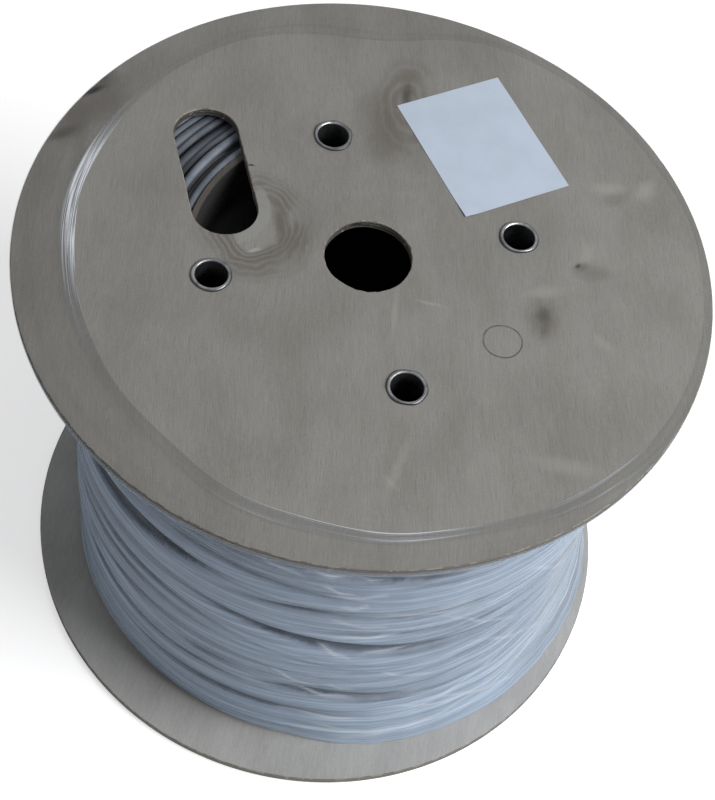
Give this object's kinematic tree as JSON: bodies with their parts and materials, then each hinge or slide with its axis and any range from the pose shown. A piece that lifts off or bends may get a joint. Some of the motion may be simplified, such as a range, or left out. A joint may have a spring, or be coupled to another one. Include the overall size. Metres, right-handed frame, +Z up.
{
  "type": "wooden cable drum",
  "caption": "Plywood cable drum with a card core and steel tie tubes, wound with data cable, wrapped in film and standing on end.",
  "frame": {"origin": "on the floor at the drum's axis, level with the crests of the tie tubes' lower rolled ends", "axes": "+Z up the drum's axis, +X towards the first tie tube, +Y towards the second"},
  "size_m": [0.4008, 0.4008, 0.3175],
  "materials": {
    "plywood": "raw grey-beige plywood, weathered",
    "core_card": "plain wound card",
    "cable_sheath": "smooth blue-grey sheath",
    "zinced_steel": "zinc plated",
    "clear_film": "cloudy stretch film",
    "label_paper": "bare white paper"
  },
  "bodies": {
    "root": {"bottom_flange": "plywood", "top_flange": "plywood", "core": "core_card", "cable_winding": "cable_sheath", "tie_tube_1": "zinced_steel", "tie_tube_2": "zinced_steel", "tie_tube_3": "zinced_steel", "tie_tube_4": "zinced_steel", "stretch_film": "clear_film", "paper_label": "label_paper"}
  },
  "joints": []
}
